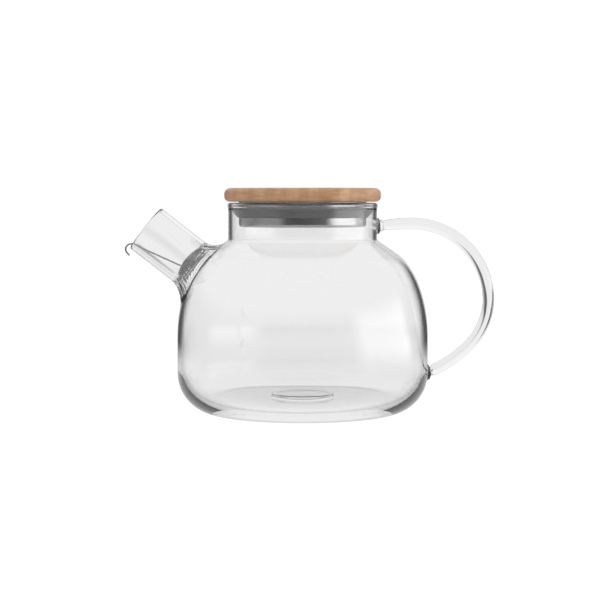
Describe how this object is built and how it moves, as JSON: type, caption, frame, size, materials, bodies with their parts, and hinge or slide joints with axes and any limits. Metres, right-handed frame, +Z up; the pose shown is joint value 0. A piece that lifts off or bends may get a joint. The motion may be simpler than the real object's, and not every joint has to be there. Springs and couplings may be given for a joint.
{
  "type": "glass teapot",
  "caption": "Clear glass teapot with straight tube spout, bent rod handle, sealed bamboo lid and a coiled wire strainer in the spout.",
  "frame": {"origin": "on the vessel's axis, in the plane of the base ring that rests on the table", "axes": "+Z up along the vessel's axis, +X towards the handle, -X towards the spout"},
  "size_m": [0.1997, 0.1354, 0.1219],
  "materials": {
    "borosilicate_glass": "clear, fire polished",
    "bamboo": "turned and sanded carbonised bamboo, satin oil finish",
    "pressed_steel": "pressed stainless steel, polished",
    "silicone": "moulded grey silicone, matte",
    "steel_wire": "bright drawn stainless wire"
  },
  "bodies": {
    "pot": {"glass_body": "borosilicate_glass", "glass_spout": "borosilicate_glass", "glass_handle": "borosilicate_glass"},
    "lid": {"bamboo_lid": "bamboo", "steel_lid_cup": "pressed_steel", "silicone_gasket": "silicone"},
    "strainer": {"spout_strainer": "steel_wire"}
  },
  "joints": [
    {"name": "lid_lift", "type": "slide", "parent": "pot", "child": "lid", "axis": [0, 0, 1], "range_m": [0, 0.03]},
    {"name": "strainer_pull", "type": "slide", "parent": "pot", "child": "strainer", "axis": [-0.788, 0, 0.6157], "range_m": [0, 0.042]}
  ]
}
